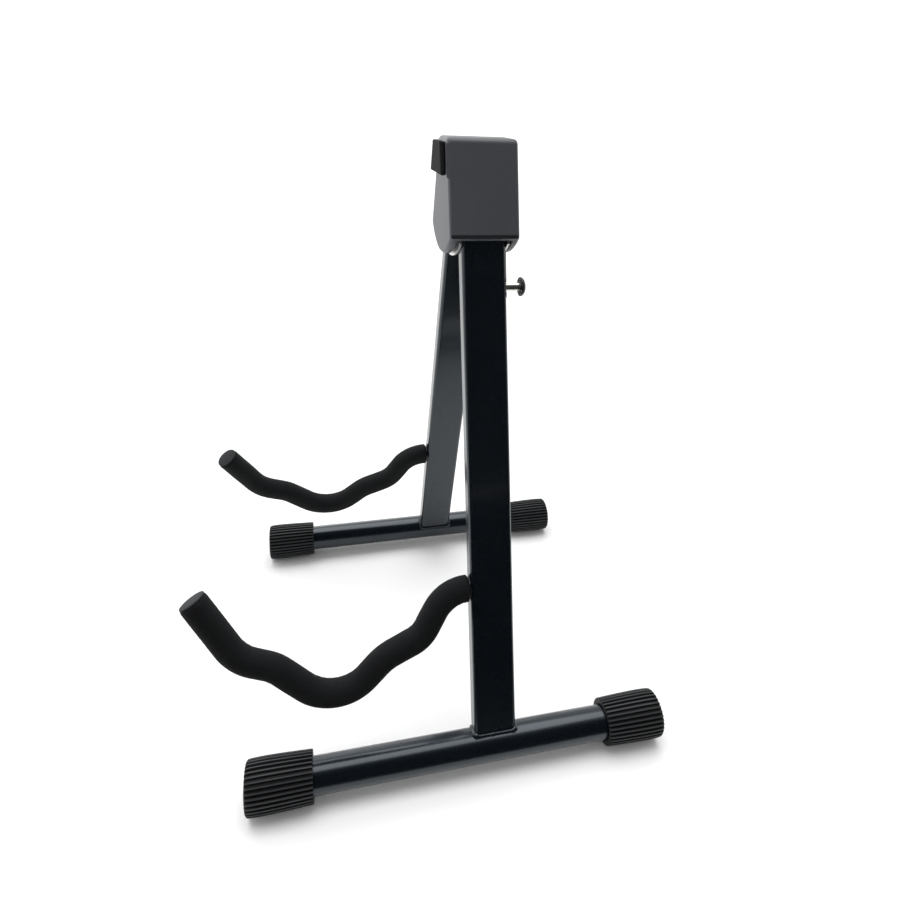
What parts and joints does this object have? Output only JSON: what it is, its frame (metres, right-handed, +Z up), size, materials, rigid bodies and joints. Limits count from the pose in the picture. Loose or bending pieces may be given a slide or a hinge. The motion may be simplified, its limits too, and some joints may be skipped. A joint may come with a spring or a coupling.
{
  "type": "folding instrument stand",
  "caption": "Folding A-frame floor stand with padded cradle arms, moulded hinge head, sprung lock pin and ribbed rubber end caps",
  "frame": {"origin": "on the floor, under the centre of the overall box", "axes": "+Z up, the arms point to -Y, the folding leg is on the +X side"},
  "size_m": [0.2884, 0.3279, 0.42],
  "materials": {
    "black_paint": "satin black powder coat",
    "charcoal_plastic": "fine-textured charcoal moulding",
    "cap_rubber": "matt black moulded rubber",
    "pad_rubber": "matt dark grey rubber",
    "black_foam": "closed-cell black foam",
    "black_plastic": "smooth black moulding",
    "natural_plastic": "unpigmented plastic",
    "zinc_steel": "bright zinc plate",
    "nickel_steel": "bright nickel plate"
  },
  "bodies": {
    "stand": {"head_cover": "charcoal_plastic", "rest_pad": "pad_rubber", "front_hinge_plate": "zinc_steel", "rear_hinge_plate": "zinc_steel", "pivot_bolt": "zinc_steel", "pivot_nut": "zinc_steel", "pivot_spacer": "zinc_steel", "clamp_upper_bolt": "zinc_steel", "clamp_upper_nut": "zinc_steel", "clamp_upper_spacer": "zinc_steel", "clamp_lower_bolt": "zinc_steel", "clamp_lower_nut": "zinc_steel", "clamp_lower_spacer": "zinc_steel", "cover_screw_left": "zinc_steel", "cover_screw_right": "zinc_steel", "fixed_leg": "black_paint", "fixed_leg_insert": "natural_plastic", "fixed_foot_tube": "black_paint", "fixed_cap_front": "cap_rubber", "fixed_cap_back": "cap_rubber", "fixed_cradle_rod": "black_paint", "fixed_foam_sleeve": "black_foam", "fixed_tip_plug": "black_plastic"},
    "folding_side": {"folding_leg": "black_paint", "folding_leg_insert": "natural_plastic", "folding_foot_tube": "black_paint", "folding_cap_front": "cap_rubber", "folding_cap_back": "cap_rubber", "folding_cradle_rod": "black_paint", "folding_foam_sleeve": "black_foam", "folding_tip_plug": "black_plastic", "pin_guide": "zinc_steel", "lock_spring": "zinc_steel"},
    "pull_pin": {"lock_pin": "nickel_steel", "lock_knob": "black_plastic", "spring_clip": "zinc_steel"}
  },
  "joints": [
    {"name": "leg_fold", "type": "hinge", "parent": "stand", "child": "folding_side", "pos_m": [0.01891, 0.03779, 0.37118], "axis": [0, 1, 0], "range_deg": [0, 33.6]},
    {"name": "pin_pull", "type": "slide", "parent": "folding_side", "child": "pull_pin", "axis": [0, 1, 0], "range_m": [0, 0.0062], "stiffness_N_per_m": 400, "springref_m": -0.003, "deforming": ["lock_spring"]}
  ]
}
